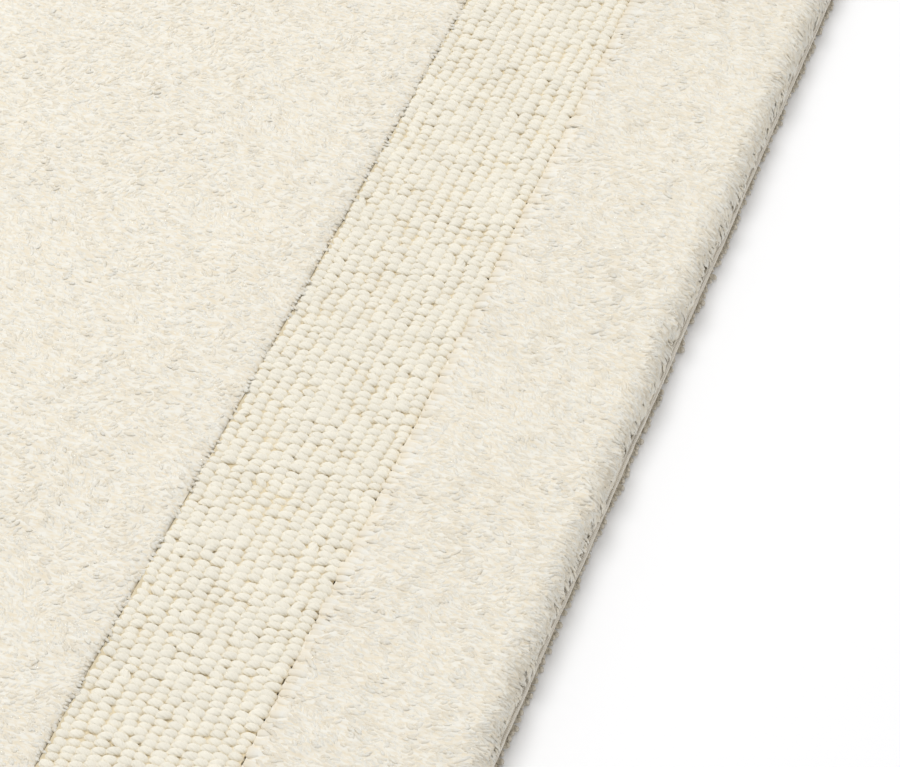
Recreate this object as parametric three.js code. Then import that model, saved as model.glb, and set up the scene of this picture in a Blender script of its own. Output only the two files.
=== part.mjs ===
// Tufted cotton bath mat. A woven ground cloth carries three areas of pile on its face: a centre
// field of cut pile, a lower band of loop pile around it, and a border of cut pile that rolls over
// the edge. The underside is covered by the small loops of the same yarns. The cloth's edge is
// turned into a rolled hem, held by one seam thread along each side.
// Millimetres, +Z up. The origin is the middle of the underside, so the mat lies on z = 0.

import * as THREE from 'three';

// Plan of the mat, measured across the outermost loops of the underside.
const MAT_WIDTH = 500;
const MAT_LENGTH = 800;
const CORNER_RADIUS = 14;
const PATTERN_CORNER_RADIUS = 4;
const CORNER_STEPS = 6;

// The face pattern, from the edge inwards.
const BORDER_WIDTH = 68;
const BAND_WIDTH = 56;

// Layers, from the floor up. Pieces that touch keep CLEARANCE between them.
const CLEARANCE = 0.3;
const REVERSE_LOOP_HEIGHT = 3.0;
const CLOTH_THICKNESS = 1.5;
const CUT_PILE_TOP = 17.0;
const LOOP_BAND_TOP = 15.5;

// The hem is a round roll of cloth just inside the outermost loops, with a thread beside it.
const HEM_INSET = 1.0;
const HEM_DIAMETER = 3.0;
const SEAM_THREAD_DIAMETER = 1.0;

// Rounding of the pile areas.
const SHOULDER_RADIUS = 8;
const PILE_EDGE_RADIUS = 3;
const LOOP_EDGE_RADIUS = 2;
const CURVE_STEPS = 5;
const ROUND_SIDES = 10;

const CLOTH_BOTTOM = REVERSE_LOOP_HEIGHT + CLEARANCE;
const CLOTH_TOP = CLOTH_BOTTOM + CLOTH_THICKNESS;
const PILE_BOTTOM = CLOTH_TOP + CLEARANCE;
const HEM_INNER_FACE = HEM_INSET + HEM_DIAMETER;
const CLOTH_INSET = HEM_INNER_FACE + CLEARANCE + SEAM_THREAD_DIAMETER + CLEARANCE;
const BAND_INSET = BORDER_WIDTH + CLEARANCE;
const CENTRE_INSET = BORDER_WIDTH + BAND_WIDTH;

const matt = (color, roughness) => new THREE.MeshStandardMaterial({ color, roughness, metalness: 0 });
const cutPile = () => matt(0xefe8d8, 0.95);
const loopPile = () => matt(0xe9dfc8, 0.9);
const cloth = () => matt(0xd9cdb4, 0.95);
const thread = () => matt(0xe4dac4, 0.8);

// Points of one corner's arc, counter-clockwise, at an inset from the mat's outline. Corner 0 is at
// +X +Y, and the others follow counter-clockwise.
function cornerArc(corner, inset, z) {
  const radius = Math.max(CORNER_RADIUS - inset, PATTERN_CORNER_RADIUS);
  const signX = corner === 0 || corner === 3 ? 1 : -1;
  const signY = corner < 2 ? 1 : -1;
  const centreX = signX * (MAT_WIDTH / 2 - inset - radius);
  const centreY = signY * (MAT_LENGTH / 2 - inset - radius);
  const points = [];
  for (let step = 0; step <= CORNER_STEPS; step += 1) {
    const angle = (corner + step / CORNER_STEPS) * Math.PI / 2;
    const x = centreX + radius * Math.cos(angle);
    const y = centreY + radius * Math.sin(angle);
    points.push(new THREE.Vector3(x, y, z));
  }
  return points;
}

// The mat's outline at an inset: a rounded rectangle, counter-clockwise.
function outline(inset, z) {
  return [0, 1, 2, 3].flatMap((corner) => cornerArc(corner, inset, z));
}

// Collects rings of points into one closed mesh with its faces pointing out.
class SolidBuilder {
  constructor() {
    this.positions = [];
    this.indices = [];
  }

  add(point) {
    this.positions.push(point.x, point.y, point.z);
    return this.positions.length / 3 - 1;
  }

  ring(points) {
    return points.map((point) => this.add(point));
  }

  // Skin between a ring and the next one; closed says whether the last point joins the first.
  skin(lower, upper, closed) {
    const count = lower.length;
    const last = closed ? count : count - 1;
    for (let index = 0; index < last; index += 1) {
      const next = (index + 1) % count;
      this.indices.push(lower[index], lower[next], upper[next]);
      this.indices.push(lower[index], upper[next], upper[index]);
    }
  }

  // Flat cap over a closed ring, as a fan from its middle.
  cap(ring, centre, reversed) {
    const middle = this.add(centre);
    ring.forEach((vertex, index) => {
      const next = ring[(index + 1) % ring.length];
      this.indices.push(middle, ...(reversed ? [next, vertex] : [vertex, next]));
    });
  }

  mesh(name, material) {
    const geometry = new THREE.BufferGeometry();
    geometry.setAttribute('position', new THREE.Float32BufferAttribute(this.positions, 3));
    geometry.setIndex(this.indices);
    geometry.computeVertexNormals();
    const mesh = new THREE.Mesh(geometry, material);
    mesh.name = name;
    return mesh;
  }
}

// A solid slab: the profile runs up its side, from the bottom face to the top face. The profile's
// x is the inset from the mat's outline and its y is the height.
function slab(name, profile, material) {
  const builder = new SolidBuilder();
  const rings = profile.map((point) => builder.ring(outline(point.x, point.y)));
  for (let level = 0; level + 1 < rings.length; level += 1) {
    builder.skin(rings[level], rings[level + 1], true);
  }
  builder.cap(rings[0], new THREE.Vector3(0, 0, profile[0].y), true);
  builder.cap(rings.at(-1), new THREE.Vector3(0, 0, profile.at(-1).y), false);
  return builder.mesh(name, material);
}

// A frame around the mat: the closed profile goes up its outer side and down its inner side.
function frame(name, profile, material) {
  const builder = new SolidBuilder();
  const rings = profile.map((point) => builder.ring(outline(point.x, point.y)));
  rings.forEach((ring, level) => builder.skin(ring, rings[(level + 1) % rings.length], true));
  return builder.mesh(name, material);
}

// A bar along the edge: the round section is swept along a run of the outline.
function edgeBar(name, section, run, material) {
  const builder = new SolidBuilder();
  const rings = section.map((point) => builder.ring(run(point.x, point.y)));
  rings.forEach((ring, side) => builder.skin(ring, rings[(side + 1) % rings.length], false));
  const centre = section.reduce((sum, point) => sum.add(point), new THREE.Vector2());
  centre.divideScalar(section.length);
  const middles = run(centre.x, centre.y);
  builder.cap(rings.map((ring) => ring[0]), middles[0], false);
  builder.cap(rings.map((ring) => ring.at(-1)), middles.at(-1), true);
  return builder.mesh(name, material);
}

// Round section, in inset and height, going up on its outer side.
function roundSection(inset, z, diameter) {
  const points = [];
  for (let side = 0; side < ROUND_SIDES; side += 1) {
    const angle = 2 * Math.PI * side / ROUND_SIDES;
    points.push(new THREE.Vector2(
      inset - diameter / 2 * Math.cos(angle),
      z + diameter / 2 * Math.sin(angle),
    ));
  }
  return points;
}

// A long side's hem turns both of its corners.
function longRun(firstCorner) {
  const secondCorner = (firstCorner + 1) % 4;
  return (inset, z) => [...cornerArc(firstCorner, inset, z), ...cornerArc(secondCorner, inset, z)];
}

// A short side's hem runs straight between the long ones.
function shortRun(side) {
  const halfRun = MAT_WIDTH / 2 - CORNER_RADIUS - CLEARANCE;
  return (inset, z) => {
    const y = side * (MAT_LENGTH / 2 - inset);
    return [new THREE.Vector3(side * halfRun, y, z), new THREE.Vector3(-side * halfRun, y, z)];
  };
}

function reverseLoops() {
  const middle = REVERSE_LOOP_HEIGHT / 2;
  const flatInset = REVERSE_LOOP_HEIGHT / 4;
  const side = new THREE.Path();
  side.moveTo(flatInset, 0);
  side.quadraticCurveTo(0, 0, 0, middle);
  side.quadraticCurveTo(0, REVERSE_LOOP_HEIGHT, flatInset, REVERSE_LOOP_HEIGHT);
  return slab('reverse_loops', side.getPoints(CURVE_STEPS), loopPile());
}

function groundCloth() {
  const side = [new THREE.Vector2(CLOTH_INSET, CLOTH_BOTTOM), new THREE.Vector2(CLOTH_INSET, CLOTH_TOP)];
  return slab('ground_cloth', side, cloth());
}

function centreCutPile() {
  const side = new THREE.Path();
  side.moveTo(CENTRE_INSET, PILE_BOTTOM);
  side.lineTo(CENTRE_INSET, CUT_PILE_TOP - PILE_EDGE_RADIUS);
  side.quadraticCurveTo(CENTRE_INSET, CUT_PILE_TOP, CENTRE_INSET + PILE_EDGE_RADIUS, CUT_PILE_TOP);
  return slab('centre_cut_pile', side.getPoints(CURVE_STEPS), cutPile());
}

function loopBand() {
  const inner = CENTRE_INSET - CLEARANCE;
  const section = new THREE.Path();
  section.moveTo(BAND_INSET, PILE_BOTTOM);
  section.lineTo(BAND_INSET, LOOP_BAND_TOP - LOOP_EDGE_RADIUS);
  section.quadraticCurveTo(BAND_INSET, LOOP_BAND_TOP, BAND_INSET + LOOP_EDGE_RADIUS, LOOP_BAND_TOP);
  section.lineTo(inner - LOOP_EDGE_RADIUS, LOOP_BAND_TOP);
  section.quadraticCurveTo(inner, LOOP_BAND_TOP, inner, LOOP_BAND_TOP - LOOP_EDGE_RADIUS);
  section.lineTo(inner, PILE_BOTTOM);
  return frame('loop_band', section.getPoints(CURVE_STEPS), loopPile());
}

// The border's outer side bulges over the hem roll and ends in a round shoulder.
function borderCutPile() {
  const hemTop = CLOTH_BOTTOM + HEM_DIAMETER + CLEARANCE;
  const foot = HEM_INNER_FACE + CLEARANCE;
  const section = new THREE.Path();
  section.moveTo(foot, PILE_BOTTOM);
  section.lineTo(foot, hemTop);
  section.lineTo(HEM_INSET + CLEARANCE, hemTop);
  section.lineTo(HEM_INSET, CUT_PILE_TOP - SHOULDER_RADIUS);
  section.quadraticCurveTo(HEM_INSET, CUT_PILE_TOP, HEM_INSET + SHOULDER_RADIUS, CUT_PILE_TOP);
  section.lineTo(BORDER_WIDTH - PILE_EDGE_RADIUS, CUT_PILE_TOP);
  section.quadraticCurveTo(BORDER_WIDTH, CUT_PILE_TOP, BORDER_WIDTH, CUT_PILE_TOP - PILE_EDGE_RADIUS);
  section.lineTo(BORDER_WIDTH, PILE_BOTTOM);
  return frame('border_cut_pile', section.getPoints(CURVE_STEPS), cutPile());
}

const EDGE_RUNS = {
  right: longRun(3),
  back: shortRun(1),
  left: longRun(1),
  front: shortRun(-1),
};

function hems() {
  const radius = HEM_DIAMETER / 2;
  const section = roundSection(HEM_INSET + radius, CLOTH_BOTTOM + radius, HEM_DIAMETER);
  const bar = ([side, run]) => edgeBar(`hem_${side}`, section, run, cloth());
  return Object.entries(EDGE_RUNS).map(bar);
}

function seamThreads() {
  const inset = HEM_INNER_FACE + CLEARANCE + SEAM_THREAD_DIAMETER / 2;
  const section = roundSection(inset, CLOTH_BOTTOM + CLOTH_THICKNESS / 2, SEAM_THREAD_DIAMETER);
  const bar = ([side, run]) => edgeBar(`seam_${side}`, section, run, thread());
  return Object.entries(EDGE_RUNS).map(bar);
}

const bathMat = new THREE.Group();
bathMat.name = 'bath_mat';
bathMat.add(reverseLoops(), groundCloth(), centreCutPile(), loopBand(), borderCutPile());
bathMat.add(...hems(), ...seamThreads());

export default bathMat;
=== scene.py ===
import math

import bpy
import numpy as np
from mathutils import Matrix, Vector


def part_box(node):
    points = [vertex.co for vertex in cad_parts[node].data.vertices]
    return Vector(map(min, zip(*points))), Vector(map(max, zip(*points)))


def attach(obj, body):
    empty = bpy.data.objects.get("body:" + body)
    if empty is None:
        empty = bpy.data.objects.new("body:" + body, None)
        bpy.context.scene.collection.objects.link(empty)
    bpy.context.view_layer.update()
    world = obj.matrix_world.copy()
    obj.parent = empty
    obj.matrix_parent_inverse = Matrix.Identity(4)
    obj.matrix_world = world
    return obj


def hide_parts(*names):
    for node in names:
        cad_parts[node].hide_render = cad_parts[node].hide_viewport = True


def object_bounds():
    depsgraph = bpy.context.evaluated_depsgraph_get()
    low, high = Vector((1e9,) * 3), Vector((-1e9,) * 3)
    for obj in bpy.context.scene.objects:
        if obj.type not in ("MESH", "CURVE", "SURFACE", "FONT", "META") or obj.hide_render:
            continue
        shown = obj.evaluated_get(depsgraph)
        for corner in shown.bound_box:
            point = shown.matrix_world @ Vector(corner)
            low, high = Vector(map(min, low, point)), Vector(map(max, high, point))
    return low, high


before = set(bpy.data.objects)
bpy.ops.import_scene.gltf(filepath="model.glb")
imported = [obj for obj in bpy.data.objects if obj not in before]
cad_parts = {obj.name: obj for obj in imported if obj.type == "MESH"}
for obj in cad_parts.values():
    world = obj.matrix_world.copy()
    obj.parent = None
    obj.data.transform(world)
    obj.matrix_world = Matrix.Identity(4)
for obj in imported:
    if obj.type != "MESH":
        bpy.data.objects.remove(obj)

# A tufted cotton bath mat, lying flat. Every tuft of the cut pile and every loop of the band is
# modelled, on the rows of stitches that a tufting machine sews. The underside has loops too, but
# fewer and thicker ones. All measures are in metres.

CAD_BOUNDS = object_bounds()
MM = 0.001
RNG = np.random.default_rng(20)

# The boxes of the CAD solids, which place every part of the mat.
REVERSE_LOW, REVERSE_HIGH = (np.array(corner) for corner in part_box("reverse_loops"))
CLOTH_LOW, CLOTH_HIGH = (np.array(corner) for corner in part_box("ground_cloth"))
BORDER_LOW, BORDER_HIGH = (np.array(corner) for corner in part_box("border_cut_pile"))
BAND_LOW, BAND_HIGH = (np.array(corner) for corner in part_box("loop_band"))
CENTRE_LOW, CENTRE_HIGH = (np.array(corner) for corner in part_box("centre_cut_pile"))
HEM_LOW, HEM_HIGH = (np.array(corner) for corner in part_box("hem_right"))
SEAM_LOW, SEAM_HIGH = (np.array(corner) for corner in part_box("seam_right"))

# The mat's outline has round corners, which the hems of its long sides turn.
SIDES = ("right", "back", "left", "front")
LONG_SIDES = ("right", "left")
CORNER_RADIUS = REVERSE_HIGH[0] - HEM_LOW[0]
HEM_RADIUS = (HEM_HIGH[2] - HEM_LOW[2]) / 2
SEAM_RADIUS = (SEAM_HIGH[2] - SEAM_LOW[2]) / 2

# The yarn and its stitches.
BAND_WIDTH = BAND_HIGH[0] - CENTRE_HIGH[0]
BAND_ROWS = 13
ROW_PITCH = BAND_WIDTH / BAND_ROWS
STITCH_PITCH = 2.6 * MM
YARN_RADIUS = 1.36 * MM
PLIES_PER_TUFT = 5

# The pile and the loops are split so that none of their pieces has more triangles than this.
MAX_PIECE_TRIANGLES = 190000


# ---------------------------------------------------------------- small helpers

def soft_noise(cell, rng):
    """A function of x and y whose values, from -1 to 1, change softly over a distance of cell."""
    reach = CAD_BOUNDS[1][1] + 50 * MM
    values = rng.uniform(-1, 1, (int(2 * reach / cell) + 3,) * 2)

    def at(x, y):
        u, v = (x + reach) / cell, (y + reach) / cell
        i, j = u.astype(int), v.astype(int)
        s, t = u - i, v - j
        s, t = s * s * (3 - 2 * s), t * t * (3 - 2 * t)
        near = values[i, j] * (1 - s) + values[i + 1, j] * s
        far = values[i, j + 1] * (1 - s) + values[i + 1, j + 1] * s
        return near * (1 - t) + far * t

    return at


def make_object(name, verts, quads, tris, material, normals=None, corner_uvs=None, bake_uvs=None):
    """One mesh object from arrays of corners, with its faces smooth and, where given, its own
    vertex normals."""
    mesh = bpy.data.meshes.new(name)
    loops = np.concatenate([quads.ravel(), tris.ravel()]).astype(np.int32)
    totals = np.concatenate([np.full(len(quads), 4), np.full(len(tris), 3)]).astype(np.int32)
    starts = np.concatenate([[0], np.cumsum(totals)[:-1]]).astype(np.int32)
    mesh.vertices.add(len(verts))
    mesh.vertices.foreach_set("co", np.asarray(verts, dtype=np.float32).ravel())
    mesh.loops.add(len(loops))
    mesh.loops.foreach_set("vertex_index", loops)
    mesh.polygons.add(len(totals))
    mesh.polygons.foreach_set("loop_start", starts)
    mesh.polygons.foreach_set("loop_total", totals)
    mesh.polygons.foreach_set("use_smooth", np.ones(len(totals), dtype=bool))
    mesh.update(calc_edges=True)
    if normals is not None:
        layer = mesh.attributes.new("custom_normal", "FLOAT_VECTOR", "POINT")
        layer.data.foreach_set("vector", normals.astype(np.float32).ravel())
    for layer_name, values in (("yarn", corner_uvs), ("OFBake", bake_uvs)):
        if values is not None:
            layer = mesh.uv_layers.new(name=layer_name)
            layer.data.foreach_set("uv", values.astype(np.float32).ravel())
    mesh.materials.append(material)
    obj = bpy.data.objects.new(name, mesh)
    bpy.context.scene.collection.objects.link(obj)
    return obj


def unit(vectors):
    """The same directions, each of length 1."""
    return vectors / np.linalg.norm(vectors, axis=-1, keepdims=True)


def tubes(name, paths, radii, section, flat_normal, material, facing=None, softness=0.0):
    """Closed tubes, all in one mesh. paths is (tubes, points, 3): the first and last points are the
    ends, and each point between them has a ring, whose radius is in radii. Each path lies in one
    plane, whose normal is flat_normal (tubes, 3). section is (sides, 2): across that plane and up
    from the path. Shading normals lean towards facing by softness, as light goes through yarn."""
    count, points, _ = paths.shape
    rings, sides = points - 2, len(section)
    tangents = unit(np.gradient(paths, axis=1))
    across = np.repeat(flat_normal[:, None, :], rings, axis=1)
    upright = np.cross(tangents[:, 1:-1], across)
    spokes = across[:, :, None, :] * section[:, :1] + upright[:, :, None, :] * section[:, 1:]
    skin = paths[:, 1:-1, None, :] + spokes * radii[:, :, None, None]
    verts = np.concatenate([skin.reshape(count, -1, 3), paths[:, [0, -1]]], axis=1)
    normals = None
    if facing is not None:
        end_normals = np.stack([-tangents[:, 0], tangents[:, -1]], axis=1)
        normals = np.concatenate([unit(spokes).reshape(count, -1, 3), end_normals], axis=1)
        turned = np.sum(normals * facing[:, None, :], axis=2, keepdims=True)
        lean = softness * (1 + turned) / 2
        normals = unit(normals + lean * facing[:, None, :]).reshape(-1, 3)
    stride = rings * sides + 2
    ring = np.arange(rings - 1)[:, None] * sides
    side = np.arange(sides)[None, :]
    after = (side + 1) % sides
    quad = np.stack([ring + side, ring + after, ring + sides + after, ring + sides + side], axis=2)
    quad = quad.reshape(-1, 4)
    side, after = side[0], after[0]
    first, last = rings * sides, rings * sides + 1
    top = (rings - 1) * sides
    cap = np.concatenate([
        np.stack([after, side, np.full(sides, first)], axis=1),
        np.stack([top + side, top + after, np.full(sides, last)], axis=1),
    ])
    offsets = (np.arange(count) * stride)[:, None, None]
    quads = (quad[None] + offsets).reshape(-1, 4)
    tris = (cap[None] + offsets).reshape(-1, 3)
    yarn_uvs, bake_uvs = tube_uvs(count, rings, sides)
    return make_object(name, verts.reshape(-1, 3), quads, tris, material, normals, yarn_uvs, bake_uvs)


def round_section(sides, width=1.0, height=1.0, start=0.0):
    """Section of a tube: points around an ellipse."""
    angles = start + np.arange(sides) * 2 * math.pi / sides
    return np.stack([width * np.cos(angles), height * np.sin(angles)], axis=1)


def tube_uvs(count, rings, sides):
    """Corner UVs of the tubes: around and along each one, and, for baking, the same in a grid of
    small cells, one to a tube."""
    ring = np.arange(1, rings)[:, None]
    side = np.arange(sides)[None, :]
    around = np.stack([side, side + 1, side + 1, side], axis=2) + ring[:, :, None] * 0
    along = np.stack([ring, ring, ring + 1, ring + 1], axis=2) + side[:, :, None] * 0
    quad = np.stack([around / sides, along / (rings + 1)], axis=3).reshape(-1, 2)
    side = np.arange(sides)
    edge = np.full(sides, 1 / (rings + 1))
    start = np.stack([side + 1, side, side + 0.5], axis=1) / sides
    end = np.stack([side, side + 1, side + 0.5], axis=1) / sides
    start_along = np.stack([edge, edge, edge * 0], axis=1)
    cap = np.concatenate([
        np.stack([start, start_along], axis=2).reshape(-1, 2),
        np.stack([end, 1 - start_along], axis=2).reshape(-1, 2),
    ])
    grid = math.ceil(math.sqrt(count))
    cell = np.stack([np.arange(count) % grid, np.arange(count) // grid], axis=1)
    margin = 0.08
    quad_bake = (cell[:, None] + margin + quad[None] * (1 - 2 * margin)) / grid
    cap_bake = (cell[:, None] + margin + cap[None] * (1 - 2 * margin)) / grid
    plain = np.concatenate([np.tile(quad, (count, 1)), np.tile(cap, (count, 1))])
    packed = np.concatenate([quad_bake.reshape(-1, 2), cap_bake.reshape(-1, 2)])
    return plain, packed


def split(total, section, points):
    """Index ranges of tubes that keep each piece under MAX_PIECE_TRIANGLES."""
    triangles_each = 2 * len(section) * (points - 2)
    parts = math.ceil(total * triangles_each / MAX_PIECE_TRIANGLES)
    edges = np.linspace(0, total, parts + 1).astype(int)
    return list(zip(edges[:-1], edges[1:]))


def outward_from(x, y, high):
    """Direction towards the nearest side of a rectangle, turning softly at its corners."""
    gap_x, gap_y = high[0] - np.abs(x), high[1] - np.abs(y)
    inset = np.minimum(gap_x, gap_y)
    reach = 12 * MM
    weight_x = np.exp(-(gap_x - inset) / reach)
    weight_y = np.exp(-(gap_y - inset) / reach)
    direction = np.stack([np.sign(x) * weight_x, np.sign(y) * weight_y], axis=1)
    return unit(direction)


def edge_line(side, inset, step):
    """Points along one side of the mat, at an inset from its outline, and the outward direction at
    each. A long side's line turns both of its corners."""
    half_x, half_y = REVERSE_HIGH[:2] - CORNER_RADIUS
    radius = CORNER_RADIUS - inset
    if side in LONG_SIDES:
        turn = np.arange(0, math.pi / 2, step / radius)
        straight = np.arange(-half_y, half_y, step)
        angle = np.concatenate([turn - math.pi / 2, straight * 0, turn])
        along = np.concatenate([turn * 0 - half_y, straight, turn * 0 + half_y])
        outward = np.stack([np.cos(angle), np.sin(angle)], axis=1)
        start = np.stack([along * 0 + half_x, along], axis=1)
    else:
        along = np.arange(half_x, -half_x, -step)
        outward = np.tile([[0.0, 1.0]], (len(along), 1))
        start = np.stack([along, along * 0 + half_y], axis=1)
    way = 1 if side in ("right", "back") else -1
    return way * (start + radius * outward), way * outward


def stitches(outer, inner, pitch_x, pitch_y, rng):
    """Roots of the stitches in rows along Y, inside the outer corner and outside the inner one,
    which may be None. Each row starts at a different place along its first stitch."""
    rows_x = np.arange(-outer[0] + pitch_x / 2, outer[0], pitch_x)
    rows_x += (outer[0] - pitch_x / 2 - rows_x[-1]) / 2
    along_y = np.arange(-outer[1] + pitch_y / 2, outer[1], pitch_y)
    x, y = np.meshgrid(rows_x, along_y, indexing="ij")
    phase = rng.uniform(-0.5, 0.5, (len(rows_x), 1)) * pitch_y
    y = np.clip(y + phase, -outer[1] + pitch_y / 2, outer[1] - pitch_y / 2)
    x, y = x.ravel(), y.ravel()
    if inner is None:
        return x, y
    keep = (np.abs(x) > inner[0]) | (np.abs(y) > inner[1])
    return x[keep], y[keep]


# ---------------------------------------------------------------- materials

class Nodes:
    """Short way to add and join a material's nodes."""

    def __init__(self, name):
        self.material = bpy.data.materials.new(name)
        self.material.use_nodes = True
        self.tree = self.material.node_tree
        self.shader = self.tree.nodes["Principled BSDF"]

    def add(self, kind, **values):
        node = self.tree.nodes.new(kind)
        for key, value in values.items():
            if key in node.inputs:
                node.inputs[key].default_value = value
            else:
                setattr(node, key, value)
        return node

    def join(self, output, target):
        self.tree.links.new(output, target)


def blend_colours(nodes, value, deep, tip):
    """Colour that goes from deep to tip as value goes from 0 to 1."""
    ramp = nodes.add("ShaderNodeValToRGB")
    for element, colour in zip(ramp.color_ramp.elements, (deep, tip)):
        element.color = (*colour, 1)
    nodes.join(value, ramp.inputs[0])
    return ramp.outputs[0]


def level_between(nodes, low, high):
    """0 to 1 between two heights of the mat."""
    place = nodes.add("ShaderNodeTexCoord")
    axes = nodes.add("ShaderNodeSeparateXYZ")
    nodes.join(place.outputs["Object"], axes.inputs[0])
    level = nodes.add("ShaderNodeMapRange")
    level.inputs["From Min"].default_value = low
    level.inputs["From Max"].default_value = high
    nodes.join(axes.outputs["Z"], level.inputs["Value"])
    return level.outputs[0]


def level_along(nodes, start, end):
    """0 to 1 along a ply, from its root to its tip."""
    coordinates = nodes.add("ShaderNodeUVMap", uv_map="yarn")
    axes = nodes.add("ShaderNodeSeparateXYZ")
    nodes.join(coordinates.outputs[0], axes.inputs[0])
    level = nodes.add("ShaderNodeMapRange")
    level.inputs["From Min"].default_value = start
    level.inputs["From Max"].default_value = end
    nodes.join(axes.outputs["Y"], level.inputs["Value"])
    return level.outputs[0]


def vary(nodes, colour, amount_socket, strength):
    """Makes a colour lighter or darker by up to strength, from a 0 to 1 value."""
    scale = nodes.add("ShaderNodeMapRange")
    scale.inputs["To Min"].default_value = 1 - strength
    scale.inputs["To Max"].default_value = 1 + strength
    nodes.join(amount_socket, scale.inputs["Value"])
    shade = nodes.add("ShaderNodeHueSaturation")
    nodes.join(scale.outputs[0], shade.inputs["Value"])
    nodes.join(colour, shade.inputs["Color"])
    return shade.outputs[0]


COTTON_ROUGHNESS = 0.9
COTTON_SHINE = 0.1
COTTON_SHEEN = 0.2
SHEEN_COLOUR = (1.0, 0.9, 0.75)


def finish_cotton(nodes, colour, height, bump):
    """Matt cotton: the colour with soft wear over the mat, the bump height, and a faint sheen."""
    place = nodes.add("ShaderNodeTexCoord")
    patches = nodes.add("ShaderNodeTexNoise", Scale=35.0, Detail=3.0)
    nodes.join(place.outputs["Object"], patches.inputs["Vector"])
    nodes.join(vary(nodes, colour, patches.outputs["Fac"], 0.03), nodes.shader.inputs["Base Color"])
    relief = nodes.add("ShaderNodeBump", Strength=bump, Distance=0.0003)
    nodes.join(height, relief.inputs["Height"])
    nodes.join(relief.outputs[0], nodes.shader.inputs["Normal"])
    nodes.shader.inputs["Roughness"].default_value = COTTON_ROUGHNESS
    nodes.shader.inputs["Specular IOR Level"].default_value = COTTON_SHINE
    nodes.shader.inputs["Sheen Weight"].default_value = COTTON_SHEEN
    nodes.shader.inputs["Sheen Roughness"].default_value = 0.5
    nodes.shader.inputs["Sheen Tint"].default_value = (*SHEEN_COLOUR, 1)
    return nodes.material


def fuzz(nodes, scale, stretch=(1, 1, 1)):
    """Fine fibres, as a 0 to 1 value. They run along the axis with the least stretch."""
    place = nodes.add("ShaderNodeTexCoord")
    lay = nodes.add("ShaderNodeMapping")
    lay.inputs["Scale"].default_value = stretch
    nodes.join(place.outputs["Object"], lay.inputs["Vector"])
    fibres = nodes.add("ShaderNodeTexNoise", Scale=scale, Detail=3.0)
    nodes.join(lay.outputs[0], fibres.inputs["Vector"])
    return fibres.outputs["Fac"]


def mottle(nodes, least):
    """Soft patches the size of a tuft, as a value between least and 1. Where it is low, the cut yarn
    takes painted shade, for the clefts between tufts.
    """
    place = nodes.add("ShaderNodeTexCoord")
    tufts = nodes.add("ShaderNodeTexNoise", Scale=210.0, Detail=2.0)
    nodes.join(place.outputs["Object"], tufts.inputs["Vector"])
    patch = nodes.add("ShaderNodeMapRange")
    patch.inputs["From Min"].default_value = 0.35
    patch.inputs["From Max"].default_value = 0.55
    patch.inputs["To Min"].default_value = least
    nodes.join(tufts.outputs["Fac"], patch.inputs["Value"])
    return patch.outputs[0]


def cut_yarn(name, deep, tip):
    """Untwisted ply of the cut pile: lighter at its tip, with painted shade that makes it darker and
    warmer towards its root and in patches the size of a tuft, for the clefts, and a little different
    from ply to ply."""
    nodes = Nodes(name)
    # Painted shade: the colour goes from the shaded colour at the root to the tip colour, and stays
    # nearer the shaded colour in the patches.
    lightness = nodes.add("ShaderNodeMath", operation="MULTIPLY")
    nodes.join(level_along(nodes, 0.1, 0.6), lightness.inputs[0])
    nodes.join(mottle(nodes, 0.55), lightness.inputs[1])
    colour = blend_colours(nodes, lightness.outputs[0], deep, tip)
    each = nodes.add("ShaderNodeNewGeometry")
    colour = vary(nodes, colour, each.outputs["Random Per Island"], 0.035)
    return finish_cotton(nodes, colour, fuzz(nodes, 2600), 0.25)


def add_twist(nodes, height, strength):
    """A bump height with the diagonal grooves between a yarn's plies added to it."""
    coordinates = nodes.add("ShaderNodeUVMap", uv_map="yarn")
    lay = nodes.add("ShaderNodeMapping")
    lay.inputs["Rotation"].default_value = (0, 0, math.radians(35))
    nodes.join(coordinates.outputs[0], lay.inputs["Vector"])
    plies = nodes.add("ShaderNodeTexWave", Scale=2.4, Distortion=0.6)
    nodes.join(lay.outputs[0], plies.inputs["Vector"])
    total = nodes.add("ShaderNodeMath", operation="MULTIPLY_ADD")
    total.inputs[1].default_value = strength
    nodes.join(plies.outputs["Fac"], total.inputs[0])
    nodes.join(height, total.inputs[2])
    return total.outputs[0]


def looped_yarn(name, low, high, deep, tip, twist):
    """Twisted yarn of the loops, with the grooves of its twist. Painted shade makes it darker and
    warmer from the height high towards the height low, down between the loops.
    """
    nodes = Nodes(name)
    colour = blend_colours(nodes, level_between(nodes, low, high), deep, tip)
    each = nodes.add("ShaderNodeNewGeometry")
    colour = vary(nodes, colour, each.outputs["Random Per Island"], 0.03)
    return finish_cotton(nodes, colour, add_twist(nodes, fuzz(nodes, 2200), twist), 0.5)


def packed_fibres(name, deep, tip):
    """The dense lower part of the pile, seen between the plies as streaks of fibre, with painted
    shade that makes the grooves between the streaks darker and warmer.
    """
    nodes = Nodes(name)
    streaks = fuzz(nodes, 950, (0.35, 1, 1))
    contrast = nodes.add("ShaderNodeMapRange")
    contrast.inputs["From Min"].default_value = 0.34
    contrast.inputs["From Max"].default_value = 0.62
    nodes.join(streaks, contrast.inputs["Value"])
    # Painted shade: the low parts of the streaks, which the bump makes grooves, take the deep colour.
    colour = blend_colours(nodes, contrast.outputs[0], deep, tip)
    return finish_cotton(nodes, colour, streaks, 0.8)


# A wave texture of scale 1 has this many bands in a metre.
BANDS_AT_SCALE_1 = 20 / (2 * math.pi)


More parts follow.
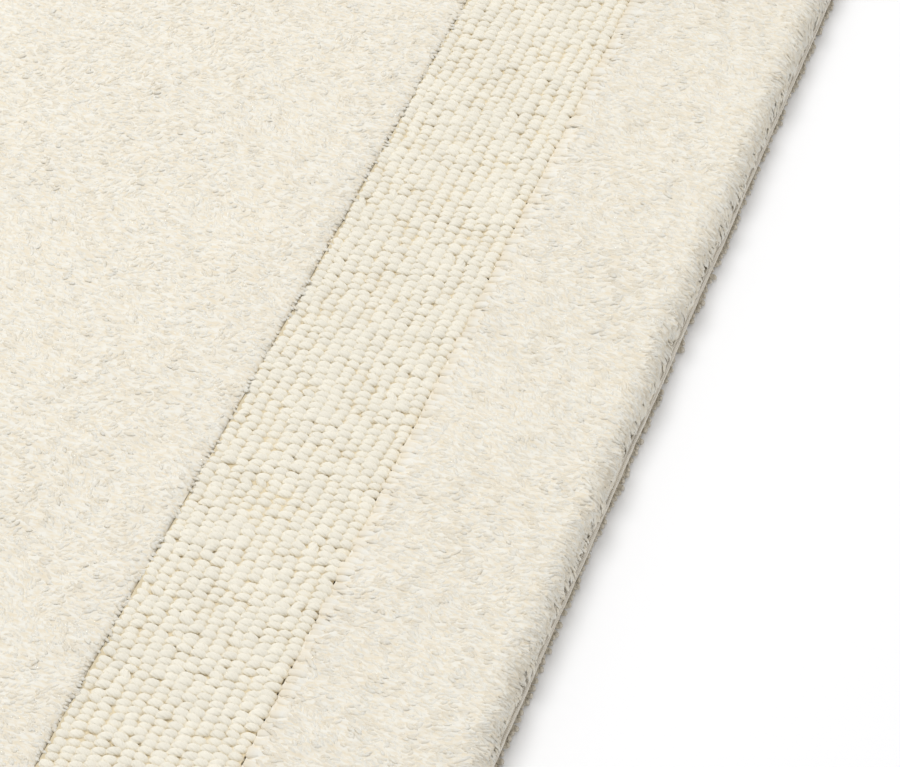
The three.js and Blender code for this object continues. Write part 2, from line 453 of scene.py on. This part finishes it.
def woven(name, light, dark, threads_per_metre):
    """Plain weave: two sets of threads that cross, light where a thread comes to the top, and with
    painted shade darker between them.
    """
    nodes = Nodes(name)
    place = nodes.add("ShaderNodeTexCoord")
    crossings = []
    for axis in ("X", "Y"):
        threads = nodes.add("ShaderNodeTexWave", bands_direction=axis, Distortion=0.4)
        threads.inputs["Scale"].default_value = threads_per_metre / BANDS_AT_SCALE_1
        nodes.join(place.outputs["Object"], threads.inputs["Vector"])
        crossings.append(threads.outputs["Fac"])
    weave = nodes.add("ShaderNodeMath", operation="MAXIMUM")
    nodes.join(crossings[0], weave.inputs[0])
    nodes.join(crossings[1], weave.inputs[1])
    colour = blend_colours(nodes, weave.outputs[0], dark, light)
    return finish_cotton(nodes, colour, weave.outputs[0], 0.5)


# Unbleached cotton: the tip colours are the yarn where it is open to the light, and the darker,
# warmer colours are painted shade down between the yarns. The underside's yarn is darker all over as
# painted shade, and the tape and thread are darker between and under their threads as painted shade.
PILE_TIP = (0.85, 0.827, 0.755)
PILE_PAINTED_SHADE = (0.80, 0.72, 0.575)
LOOP_TIP = (0.88, 0.837, 0.725)
LOOP_PAINTED_SHADE = (0.75, 0.65, 0.46)
BACK_TIP_IN_PAINTED_SHADE = (0.78, 0.735, 0.64)
BACK_DEEP_IN_PAINTED_SHADE = (0.66, 0.60, 0.49)
TAPE_LIGHT = (0.87, 0.83, 0.75)
TAPE_PAINTED_SHADE = (0.68, 0.61, 0.50)

CUT_YARN = cut_yarn("cut_yarn", PILE_PAINTED_SHADE, PILE_TIP)
PILE_BED = packed_fibres("packed_pile", PILE_PAINTED_SHADE, PILE_TIP)
# The loops' painted shade: darker and warmer from the upper of these heights down to the lower one,
# between the loops.
LOOP_PAINTED_SHADE_HEIGHTS = (BAND_HIGH[2] - 3.0 * MM, BAND_HIGH[2] - 0.8 * MM)
LOOP_YARN = looped_yarn("loop_yarn", *LOOP_PAINTED_SHADE_HEIGHTS, LOOP_PAINTED_SHADE, LOOP_TIP, 1.0)
# The beds between the loops, above and underneath, are all in the loops' painted shade colour.
LOOP_BED_PAINTED_SHADE = packed_fibres("packed_loops", LOOP_PAINTED_SHADE, LOOP_PAINTED_SHADE)
# The underside's yarn is the same cream yarn, made darker all over as painted shade, and darker still
# towards the cloth.
BACK_YARN = looped_yarn("back_yarn", REVERSE_HIGH[2], REVERSE_LOW[2], BACK_DEEP_IN_PAINTED_SHADE, BACK_TIP_IN_PAINTED_SHADE, 0.8)
CLOTH = woven("cloth_weave", TAPE_LIGHT, TAPE_PAINTED_SHADE, 900)
TAPE = woven("hem_tape", TAPE_LIGHT, TAPE_PAINTED_SHADE, 1400)
# The seam thread is darker towards its underside, as painted shade.
THREAD = looped_yarn("seam_thread", SEAM_LOW[2], SEAM_HIGH[2], TAPE_PAINTED_SHADE, TAPE_LIGHT, 1.5)


# ---------------------------------------------------------------- cut pile

# A ply is a low ridge whose sides go down into the bed. Its root and its tip lie deeper than the
# stretch between them.
PLY_SECTION = np.array([(1, -0.5), (0, 0.5), (-1, -0.5)])
PLY_ALONG = np.array([0, 0.35, 0.75, 1])
PLY_DROP = np.array([0.6, 0.05, 0.0, 0.3]) * MM
PLY_SOFTNESS = 2.5
# How much plies differ, as shares of their length and radius, and as an angle in radians.
PLY_LENGTHS = (0.7, 1.25)
PLY_RADII = (0.75, 1.2)
PLY_TURN = 0.25
# How far a tuft's plies spread from its middle, as a share of the pitch, and how much they then
# turn away from it.
SPREAD = 0.55
FAN = 0.6
# How far the plies lie under the CAD solid's surface, and the bed under the plies.
MEAN_DEPTH = 0.8 * MM
BED_DEPTH = 0.15 * MM
PATCH_NOISE = soft_noise(14 * MM, RNG)
TUFT_NOISE = soft_noise(5 * MM, RNG)
FINE_NOISE = soft_noise(3.2 * MM, RNG)


def unevenness(x, y):
    """Height of the pile over its mean surface: soft swells, tufts and the gaps between them."""
    return (0.3 * PATCH_NOISE(x, y) + 0.65 * TUFT_NOISE(x, y) + 0.28 * FINE_NOISE(x, y)) * MM


def pile_depth(x, y, shape):
    """How far the pile lies below its shape. It is rougher where the side rolls over."""
    flat, radius, _ = shape
    return MEAN_DEPTH - unevenness(x, y) * (1 + 0.5 * np.clip(beyond(x, y, flat) / radius, 0, 1))


def pile_slope(x, y):
    """The sideways part of the surface normal that the unevenness gives."""
    step = 0.5 * MM
    slope_x = (unevenness(x - step, y) - unevenness(x + step, y)) / (2 * step)
    slope_y = (unevenness(x, y - step) - unevenness(x, y + step)) / (2 * step)
    return np.stack([slope_x, slope_y, x * 0], axis=1)


def roll_over(x, y, depth, flat, radius, top):
    """Place on a pile area whose sides roll over: flat up to the corner flat, then round by radius,
    then straight down. x and y are measured along the surface, and depth goes in from it."""
    over = np.stack([np.maximum(np.abs(x) - flat[0], 0), np.maximum(np.abs(y) - flat[1], 0)], axis=-1)
    run = np.linalg.norm(over, axis=-1)
    outward = over * np.sign(np.stack([x, y], axis=-1)) / np.maximum(run, 1e-9)[..., None]
    angle = np.minimum(run / radius, math.pi / 2)
    straight = np.maximum(run - radius * math.pi / 2, 0)
    start = np.stack([np.clip(x, -flat[0], flat[0]), np.clip(y, -flat[1], flat[1])], axis=-1)
    inner = radius - depth
    place = start + outward * (inner * np.sin(angle))[..., None]
    height = top - radius + inner * np.cos(angle) - straight
    normal = np.concatenate([outward * np.sin(angle)[..., None], np.cos(angle)[..., None]], axis=-1)
    return np.concatenate([place, height[..., None]], axis=-1), normal


def beyond(x, y, flat):
    """How far a place along the surface is past the flat part."""
    return np.hypot(np.maximum(np.abs(x) - flat[0], 0), np.maximum(np.abs(y) - flat[1], 0))


def cut_pile(name, x, y, direction, length, radius, shape, rng):
    """Plies of cut yarn that lie over each other like shingles, and fan out from each tuft. x, y is
    each tuft's place along the surface, direction the way that it leans, and length and radius
    those of its plies."""
    count = len(x) * PLIES_PER_TUFT
    x, y, length, radius = (np.repeat(values, PLIES_PER_TUFT) for values in (x, y, length, radius))
    direction = np.repeat(direction, PLIES_PER_TUFT, axis=0)
    spread = rng.uniform(-SPREAD, SPREAD, (count, 2))
    x = x + spread[:, 0] * ROW_PITCH
    y = y + spread[:, 1] * STITCH_PITCH
    loose = 1 - 0.6 * np.clip(beyond(x, y, shape[0]) / shape[1], 0, 1)
    direction = direction + FAN * spread * loose[:, None]
    angle = np.arctan2(direction[:, 1], direction[:, 0]) + rng.normal(0, PLY_TURN, count) * loose
    heading = np.stack([np.cos(angle), np.sin(angle)], axis=1)
    back = (1 - PLY_ALONG)[None, :] * (length * rng.uniform(*PLY_LENGTHS, count))[:, None]
    path_x = x[:, None] - heading[:, :1] * back
    path_y = y[:, None] - heading[:, 1:] * back
    uneven = rng.normal(0.02, 0.19 - 0.09 * loose) * MM
    depth = pile_depth(path_x, path_y, shape) + PLY_DROP + uneven[:, None]
    paths, normals = roll_over(path_x, path_y, depth, *shape)
    middle = normals[:, 2]
    flat_normal = unit(np.cross(middle, unit(paths[:, -1] - paths[:, 0])))
    radii = radius[:, None] * np.array([1.0, 0.85]) * rng.uniform(*PLY_RADII, (count, 1))
    facing = unit(middle + pile_slope(x, y))
    order = np.argsort(y, kind="stable")
    pieces = []
    for number, (low, high) in enumerate(split(count, PLY_SECTION, len(PLY_ALONG)), 1):
        pick = order[low:high]
        pieces.append(tubes(
            f"{name}_{number:02d}", paths[pick], radii[pick], PLY_SECTION, flat_normal[pick],
            CUT_YARN, facing[pick], PLY_SOFTNESS,
        ))
    return pieces


def wandering(x, y, base_direction, amount, rng):
    """A direction field that follows base_direction and wanders by about amount, in radians."""
    angle = np.arctan2(base_direction[:, 1], base_direction[:, 0])
    angle = angle + amount * soft_noise(6 * MM, rng)(x, y) + amount * soft_noise(22 * MM, rng)(x, y)
    angle = angle + rng.normal(0, 0.4, len(x)) * amount
    return np.stack([np.cos(angle), np.sin(angle)], axis=1)


# The centre slopes down a little to the band, and its last tufts lie over the first loops.
CENTRE_CURVE = 16 * MM
CENTRE_DROP = 1.0 * MM
CENTRE_SLOPE = CENTRE_CURVE * math.acos(1 - CENTRE_DROP / CENTRE_CURVE)
CENTRE_OVERLAP = 1.0 * MM
CENTRE_SHAPE = (CENTRE_HIGH[:2] + CENTRE_OVERLAP - CENTRE_SLOPE, CENTRE_CURVE, CENTRE_HIGH[2])
# The border rolls over the hem: the last tufts are rooted down to SHOULDER_WALL along the surface,
# and the bed under them ends at SHOULDER_BED.
SHOULDER = 8 * MM
SHOULDER_WALL = SHOULDER * math.pi / 2 + 4.4 * MM
SHOULDER_BED = SHOULDER * 1.12
BORDER_SHAPE = (BORDER_HIGH[:2] - SHOULDER, SHOULDER, BORDER_HIGH[2])
# The border's first row of whole yarns reaches this far from the band.
FINGER_LENGTH = 6.0 * MM


def centre_pile(rng):
    """The centre's tufts: brushed across the mat in the middle, and outward along its edges."""
    flat = CENTRE_SHAPE[0]
    reach = CENTRE_SLOPE + ROW_PITCH / 4
    x, y = stitches(flat + reach, None, ROW_PITCH, STITCH_PITCH, rng)
    keep = beyond(x, y, flat) < reach
    x, y = x[keep], y[keep]
    nap = np.tile([[1.0, 0.1]], (len(x), 1))
    outward = outward_from(x, y, flat + reach)
    side = np.clip(beyond(x, y, flat - 3 * MM) / (5 * MM), 0, 1)
    direction = nap * (1 - side[:, None]) + outward * side[:, None]
    stray = outward * (side * 0.9 * MM * soft_noise(4 * MM, rng)(x, y))[:, None]
    x, y = x + stray[:, 0], y + stray[:, 1]
    direction = wandering(x, y, direction, 0.8 - 0.4 * side, rng)
    length = np.full(len(x), 3.2 * MM)
    radius = np.full(len(x), 0.68 * MM)
    return cut_pile("centre_pile", x, y, direction, length, radius, CENTRE_SHAPE, rng)


def border_pile(rng):
    """The border's tufts: brushed outward, and longer and thinner where they hang over the hem."""
    flat = BORDER_SHAPE[0]
    inner = BAND_HIGH[:2] + FINGER_LENGTH + 0.5 * MM
    x, y = stitches(flat + SHOULDER_WALL, inner, ROW_PITCH, STITCH_PITCH, rng)
    keep = beyond(x, y, flat) < SHOULDER_WALL
    x, y = x[keep], y[keep]
    outward = outward_from(x, y, flat + SHOULDER_WALL)
    over = np.clip(beyond(x, y, flat) / SHOULDER, 0, 1)
    direction = wandering(x, y, outward, 0.5 - 0.25 * over, rng)
    length = 4.0 * MM + 3.0 * MM * over
    radius = 0.72 * MM - 0.17 * MM * over
    return cut_pile("border_pile", x, y, direction, length, radius, BORDER_SHAPE, rng)


# ---------------------------------------------------------------- loops

LOOP_SECTION = round_section(8, width=1.15, start=math.pi / 2)
LOOP_POINTS = 7
BACK_SECTION = round_section(4, width=1.1, start=-math.pi / 2)
BACK_POINTS = 5
# The stitches slant a little across their row. Each is a half turn of yarn with a broad crown.
LOOP_YAW = 0.14
LOOP_BREADTH = 0.55
STRAY_LOOPS = 0.09


def loops(name, x, y, yaw, top, sign, yarn, section, points, span, drop, radius, rng, softness=0):
    """Loops of yarn that lie across their row, like grains of rice. yaw is each one's direction, and
    sign is 1 where they stand up from the cloth and -1 where they hang from it. span is half of a
    loop's length, and drop how far its ends go down from its crown. A few go astray."""
    count = len(x)
    stray = rng.random(count) < STRAY_LOOPS
    yaw = yaw + rng.normal(0, 0.16, count) + stray * rng.normal(0, 0.4, count)
    heading = np.stack([np.cos(yaw), np.sin(yaw), np.zeros(count)], axis=1)
    x = x + 0.5 * MM * soft_noise(11 * MM, rng)(x, y) + rng.normal(0, 0.22 * MM, count)
    y = y + 0.5 * MM * soft_noise(9 * MM, rng)(x, y) + rng.normal(0, 0.22 * MM, count)
    size = rng.uniform(0.9, 1.12, count)
    radii = radius * rng.uniform(0.86, 1.1, count)
    crown = top - sign * (radii + np.abs(rng.normal(0, 0.3 * MM, count)))
    turn = np.linspace(0, math.pi, points)
    run = -np.cos(turn)[None, :] * span * size[:, None]
    fall = (1 - np.sin(turn) ** LOOP_BREADTH)[None, :] * drop
    centre = np.stack([x, y, crown], axis=1)
    paths = centre[:, None, :] + heading[:, None, :] * run[:, :, None]
    paths[:, :, 2] -= sign * fall
    normal = np.stack([-heading[:, 1], heading[:, 0], np.zeros(count)], axis=1)
    swell = np.interp(turn[1:-1] / math.pi, [0, 0.5, 1], [0.74, 1.08, 0.74])
    radii = radii[:, None] * swell[None, :]
    facing = np.tile([[0.0, 0.0, 1.0]], (count, 1))
    order = np.argsort(y, kind="stable")
    pieces = []
    for number, (low, high) in enumerate(split(count, section, points), 1):
        pick = order[low:high]
        pieces.append(
            tubes(f"{name}_{number:02d}", paths[pick], radii[pick], section, normal[pick], yarn,
                  facing[pick], softness)
        )
    return pieces


def band_loops(rng):
    """The loops of the band, in rows that all run along the mat."""
    x, y = stitches(BAND_HIGH[:2], CENTRE_HIGH[:2], ROW_PITCH, STITCH_PITCH, rng)
    top = BAND_HIGH[2] + 0.4 * MM * soft_noise(8 * MM, rng)(x, y)
    yaw = np.full(len(x), LOOP_YAW)
    return loops("band_loops", x, y, yaw, top, 1, LOOP_YARN, LOOP_SECTION, LOOP_POINTS,
                 ROW_PITCH * 0.51, 2.5 * MM, YARN_RADIUS, rng, softness=0.4)


def reverse_loops(rng):
    """The loops that hang from the cloth all over the underside, within its round corners."""
    inset = 2.5 * MM
    x, y = stitches(REVERSE_HIGH[:2] - inset, None, ROW_PITCH, 2 * STITCH_PITCH, rng)
    inside = beyond(x, y, REVERSE_HIGH[:2] - CORNER_RADIUS) < CORNER_RADIUS - inset
    x, y = x[inside], y[inside]
    yaw = np.full(len(x), LOOP_YAW)
    return loops("reverse_loops", x, y, yaw, REVERSE_LOW[2], -1, BACK_YARN, BACK_SECTION, BACK_POINTS,
                 ROW_PITCH * 0.46, 1.6 * MM, 1.6 * MM, rng)


def along_sides(corner, pitch, rng):
    """Places at every pitch along the four sides of a rectangle, and the outward direction there."""
    places, directions = [], []
    for axis in (0, 1):
        run = np.arange(-corner[1 - axis] + pitch, corner[1 - axis] - pitch / 2, pitch)
        for sign in (-1, 1):
            across = np.full(len(run), sign * corner[axis])
            shift = run + rng.normal(0, 0.12, len(run)) * pitch
            places.append(np.stack([across, shift] if axis == 0 else [shift, across], axis=1))
            outward = np.zeros((len(run), 2))
            outward[:, axis] = sign
            directions.append(outward)
    return np.concatenate(places), np.concatenate(directions)


def foot_loops(rng):
    """The outermost loops of the underside, which stick out a little past the hem."""
    lines = [edge_line(side, 1.9 * MM, 2.5 * MM) for side in SIDES]
    place, outward = (np.concatenate(parts) for parts in zip(*lines))
    place = place - outward * np.abs(rng.normal(0, 0.8 * MM, (len(place), 1)))
    yaw = np.arctan2(outward[:, 1], outward[:, 0])
    return loops("foot_loops", place[:, 0], place[:, 1], yaw, REVERSE_LOW[2], -1, BACK_YARN,
                 LOOP_SECTION, LOOP_POINTS, 1.9 * MM, 0.9 * MM, 1.1 * MM, rng)


def finger_row(rng):
    """The first row of the border: whole yarns that rise from the band and lean outward over the
    pile, where they fray."""
    place, outward = along_sides(BAND_HIGH[:2] + 0.1 * MM, STITCH_PITCH, rng)
    count = len(place)
    wander = 0.5 * MM * soft_noise(7 * MM, rng)(place[:, 0], place[:, 1])
    place = place + outward * (wander + rng.normal(0, 0.4 * MM, count))[:, None]
    along = np.linspace(0, 1, 6)
    yaw = np.arctan2(outward[:, 1], outward[:, 0]) + rng.normal(0, 0.14, count)
    heading = np.stack([np.cos(yaw), np.sin(yaw)], axis=1)
    length = (FINGER_LENGTH + 1.5 * MM) * rng.uniform(0.85, 1.15, count)
    run = along[None, :] * length[:, None]
    flat_path = place[:, None, :] + heading[:, None, :] * run[:, :, None]
    low = BAND_HIGH[2] - 2.6 * MM
    high = BORDER_HIGH[2] - 1.85 * MM + rng.normal(0, 0.2 * MM, count)
    rise = np.sin(along * math.pi / 2)[None, :] ** 0.45
    tip_dive = 1.2 * MM * along[None, :] ** 6
    height = low + (high - low)[:, None] * rise
    height -= tip_dive
    paths = np.concatenate([flat_path, height[:, :, None]], axis=2)
    normal = np.stack([-heading[:, 1], heading[:, 0], np.zeros(count)], axis=1)
    radii = 1.3 * MM * rng.uniform(0.88, 1.08, (count, 1)) * np.array([[1.0, 1.05, 1.0, 0.8]])
    facing = np.tile([[0.0, 0.0, 1.0]], (count, 1))
    return [tubes("finger_row", paths, radii, round_section(8), normal, CUT_YARN, facing, 0.8)]


# ---------------------------------------------------------------- beds, cloth, hems

def grid_line(corner, rounding, hole, step):
    """Places of a block's grid lines along one axis, closer together where its side curves."""
    inner = corner - rounding
    line = np.linspace(-inner, inner, int(2 * inner / step) + 1)
    rim = np.linspace(inner, corner, int(rounding / MM) + 2)
    line = np.concatenate([-rim, line, rim])
    if hole is not None:
        line = line[np.abs(np.abs(line) - hole) > step * 0.3]
        line = np.concatenate([line, [-hole, hole]])
    return np.unique(np.round(line, 6))


def block(name, corner, rounding, shape, depth_of, bottom, hole, material, step=2 * MM):
    """A closed block whose top lies under the pile surface of shape, by depth_of the place, out to
    corner, with its own corners rounded by rounding. hole is the corner of the area that it leaves
    out, or None."""
    holes = (None, None) if hole is None else hole
    lines = [grid_line(corner[axis], rounding, holes[axis], step) for axis in (0, 1)]
    x, y = np.meshgrid(*lines, indexing="ij")
    mid_x, mid_y = np.meshgrid(*[(line[1:] + line[:-1]) / 2 for line in lines], indexing="ij")
    solid = beyond(mid_x, mid_y, corner - rounding) <= rounding
    if hole is not None:
        solid &= (np.abs(mid_x) > hole[0]) | (np.abs(mid_y) > hole[1])
    high, _ = roll_over(x.ravel(), y.ravel(), depth_of(x.ravel(), y.ravel(), shape), *shape)
    low = np.concatenate([high[:, :2], np.full((len(high), 1), bottom)], axis=1)
    columns = x.shape[1]
    i, j = np.where(solid)
    a, b = i * columns + j, (i + 1) * columns + j
    c, d = b + 1, a + 1
    quads = [np.stack([a, b, c, d], axis=1), np.stack([d, c, b, a], axis=1) + x.size]
    padded = np.pad(solid, 1)
    for di, dj, first, second in ((-1, 0, d, a), (1, 0, b, c), (0, -1, a, b), (0, 1, c, d)):
        open_side = ~padded[i + 1 + di, j + 1 + dj]
        p, q = first[open_side], second[open_side]
        quads.append(np.stack([q, p, p + x.size, q + x.size], axis=1))
    used, quads = np.unique(np.concatenate(quads), return_inverse=True)
    verts = np.concatenate([high, low])[used]
    piece = make_object(name, verts, quads.reshape(-1, 4), np.zeros((0, 3), int), material)
    piece.data.set_sharp_from_angle(angle=math.radians(50))
    return piece


def flat_shape(corner, top):
    """Shape of an area without a shoulder, for roll_over and block."""
    return corner, 10 * MM, top


def side_cords(name, side, inset, height, cords, pull, sides, material, rng):
    """Cords that run along one side of the mat. inset and height place their middle. cords has each
    one's radius, and its distance and angle from that middle: 0 is outward and a quarter turn is up.
    Each stitch pulls them in by the share pull of their radius."""
    step = STITCH_PITCH / 4
    place, outward = edge_line(side, inset, step)
    run = (np.arange(len(place)) - len(place) / 2) * step
    paths, radii = [], []
    for radius, distance, angle in cords:
        phase = rng.uniform(0, 2 * math.pi)
        stitch = pull * radius * np.cos(run * 2 * math.pi / STITCH_PITCH + phase)
        out = distance * math.cos(angle) + 0.15 * MM * soft_noise(25 * MM, rng)(run, run * 0)
        out = out + 0.12 * MM * soft_noise(4 * MM, rng)(run, run * 0)
        up = height + distance * math.sin(angle) + stitch
        paths.append(np.concatenate([place + outward * out[:, None], up[:, None]], axis=1))
        radii.append((radius - np.abs(stitch))[1:-1])
    flat_normal = np.tile([[0.0, 0.0, 1.0]], (len(cords), 1))
    return tubes(name, np.stack(paths), np.stack(radii), round_section(sides), flat_normal, material)


def hem(side, rng):
    """Turned and stitched edge of the ground cloth: a roll, with the folds of the cloth along it."""
    inset = REVERSE_HIGH[0] - HEM_HIGH[0] + HEM_RADIUS
    height = (HEM_LOW[2] + HEM_HIGH[2]) / 2
    fold = 0.3 * HEM_RADIUS
    cords = [(0.75 * HEM_RADIUS, 0, 0)]
    cords += [(fold, HEM_RADIUS - fold, angle) for angle in (-0.1, 0.75, 1.6)]
    return side_cords(f"hem_roll_{side}", side, inset, height, cords, 0.08, 7, TAPE, rng)


def seam(side, rng):
    """Thread that goes in and out along the hem."""
    inset = REVERSE_HIGH[0] - SEAM_HIGH[0] + SEAM_RADIUS
    height = (SEAM_LOW[2] + SEAM_HIGH[2]) / 2
    cords = [(0.95 * SEAM_RADIUS, 0, 0)]
    return side_cords(f"seam_thread_{side}", side, inset, height, cords, 0.15, 6, THREAD, rng)


def pile_bed_depth(x, y, shape):
    """A pile bed lies just under the plies."""
    return BED_DEPTH + pile_depth(x, y, shape)


# The beds go down by this much more in certain places.
CENTRE_EDGE = 2.2 * MM
CENTRE_EDGE_FALL = 0.6 * MM
FIRST_ROW_FALL = 2.6 * MM
SHOULDER_FALL = 0.06 * MM


def centre_bed_depth(x, y, shape):
    """The centre's bed slopes down along its edge, under the first loops."""
    fall = np.clip((beyond(x, y, shape[0]) - CENTRE_SLOPE) / CENTRE_EDGE + 1, 0, 1)
    return pile_bed_depth(x, y, shape) + CENTRE_EDGE_FALL * fall ** 2


def border_bed_depth(x, y, shape):
    """The border's bed is lower under its first row, so that those yarns stand out of it, and
    where the side rolls over."""
    into_border = np.clip(beyond(x, y, BAND_HIGH[:2]) / FINGER_LENGTH, 0, 1)
    over = np.clip(beyond(x, y, shape[0]) / SHOULDER_BED, 0, 1)
    first_row = FIRST_ROW_FALL * (1 - into_border)
    return pile_bed_depth(x, y, shape) + first_row + SHOULDER_FALL * over


def loop_bed_depth(x, y, shape):
    """The band's bed rises to meet the centre, whose last tufts lie over the first loops."""
    from_centre = np.clip(beyond(x, y, CENTRE_HIGH[:2] + CENTRE_OVERLAP) / (2 * MM), 0, 1)
    return 0.6 * MM + 1.4 * MM * from_centre + 0.3 * MM * TUFT_NOISE(x, y)


def level(x, y, shape):
    """The depth of a bed that is flat all over."""
    return x * 0


def centre_bed():
    """Packed pile under the centre's plies."""
    return block(
        "centre_bed", CENTRE_HIGH[:2] + CENTRE_OVERLAP, 3 * MM, CENTRE_SHAPE, centre_bed_depth,
        CENTRE_LOW[2], None, PILE_BED,
    )


def band_bed():
    """What the band's loops are set in, all round the centre."""
    shape = flat_shape(BAND_HIGH[:2], BAND_HIGH[2])
    return block(
        "band_bed", BAND_HIGH[:2], 0, shape, loop_bed_depth, BAND_LOW[2],
        CENTRE_HIGH[:2] + 0.8 * MM, LOOP_BED_PAINTED_SHADE,
    )


def border_bed():
    """Packed pile under the border's plies, all round the band."""
    return block(
        "border_bed", BORDER_SHAPE[0] + SHOULDER_BED, SHOULDER_BED, BORDER_SHAPE, border_bed_depth,
        BORDER_LOW[2], BAND_HIGH[:2] + 0.6 * MM, PILE_BED,
    )


def reverse_bed():
    """What the loops of the underside are set in. It stops short of the mat's outline."""
    inset = 2.5 * MM
    return block(
        "reverse_bed", REVERSE_HIGH[:2] - inset, CORNER_RADIUS - inset,
        flat_shape(REVERSE_HIGH[:2], REVERSE_HIGH[2]), level, REVERSE_LOW[2] + 1.4 * MM, None,
        LOOP_BED_PAINTED_SHADE, step=10 * MM,
    )


def cloth_sheet():
    """The ground cloth that all the yarn is tufted into."""
    inset = REVERSE_HIGH[0] - CLOTH_HIGH[0]
    return block(
        "cloth_sheet", CLOTH_HIGH[:2], CORNER_RADIUS - inset,
        flat_shape(CLOTH_HIGH[:2], CLOTH_HIGH[2]), level, CLOTH_LOW[2], None, CLOTH, step=10 * MM,
    )


# ---------------------------------------------------------------- the mat

def assemble(pieces, node):
    """Puts the pieces on the mat's one body, in place of the CAD solid node, and returns them."""
    for piece in pieces:
        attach(piece, "root")
        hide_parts(node)
    return pieces


def bath_mat(rng):
    """Builds the mat. The beds come first, and then the yarns, hems and seams."""
    under_centre = centre_bed()
    under_band = band_bed()
    under_border = border_bed()
    under_cloth = reverse_bed()
    cloth = cloth_sheet()
    reverse = reverse_loops(rng) + foot_loops(rng) + [under_cloth]
    centre = centre_pile(rng) + [under_centre]
    border = border_pile(rng) + finger_row(rng) + [under_border]
    band = band_loops(rng) + [under_band]
    assemble(reverse, "reverse_loops")
    on_cloth = assemble(centre, "centre_cut_pile")
    on_cloth += assemble(border, "border_cut_pile")
    on_cloth += assemble(band, "loop_band")
    for side in SIDES:
        on_cloth += assemble([hem(side, rng)], f"hem_{side}")
        on_cloth += assemble([seam(side, rng)], f"seam_{side}")
    assemble([cloth], "ground_cloth")


# ---------------------------------------------------------------- floor, light and camera

def floor():
    """A plain pale floor, which isn't part of the mat."""
    bpy.ops.mesh.primitive_plane_add(size=8, location=(0, 0, 0))
    plane = bpy.context.object
    plane.name = "floor"
    nodes = Nodes("floor")
    nodes.shader.inputs["Base Color"].default_value = (0.96, 0.96, 0.965, 1)
    nodes.shader.inputs["Roughness"].default_value = 0.9
    plane.data.materials.append(nodes.material)


def area_light(name, place, size, power):
    """A square white light that shines on the middle of the mat."""
    data = bpy.data.lights.new(name, "AREA")
    data.size = size
    data.energy = power
    light = bpy.data.objects.new(name, data)
    light.location = place
    aim = -light.location.normalized()
    light.rotation_euler = aim.to_track_quat("-Z", "Y").to_euler()
    bpy.context.scene.collection.objects.link(light)


def lights():
    """An even white studio, with one soft light from above the mat's far left."""
    world = bpy.data.worlds.new("studio")
    world.use_nodes = True
    world.node_tree.nodes["Background"].inputs["Color"].default_value = (1, 1, 1, 1)
    world.node_tree.nodes["Background"].inputs["Strength"].default_value = 0.67
    bpy.context.scene.world = world
    area_light("key", (-0.8, 0.4, 2.4), 1.4, 33)


# The camera looks down along the mat's right-hand edge. Its long lens flattens the rows. The focal
# length is in pixels of the photograph, over the photograph's width.
CAMERA_PITCH = math.radians(50)
CAMERA_HEADING = math.radians(21.1)
CAMERA_FOCAL = 2737 / 900
CAMERA_HEIGHT = 0.694
CAMERA_RIGHT = 0.392
CAMERA_BACK = -0.56


def camera():
    """The photograph's view. Its depth of field is off."""
    data = bpy.data.cameras.new("camera")
    data.sensor_width = 36
    data.lens = CAMERA_FOCAL * data.sensor_width
    data.clip_start = 0.05
    obj = bpy.data.objects.new("camera", data)
    obj.location = (CAMERA_RIGHT, CAMERA_BACK, CAMERA_HEIGHT)
    obj.rotation_euler = (math.pi / 2 - CAMERA_PITCH, 0, CAMERA_HEADING)
    bpy.context.scene.collection.objects.link(obj)
    bpy.context.scene.camera = obj


bath_mat(RNG)
floor()
lights()
camera()
bpy.context.scene.view_settings.view_transform = "Standard"
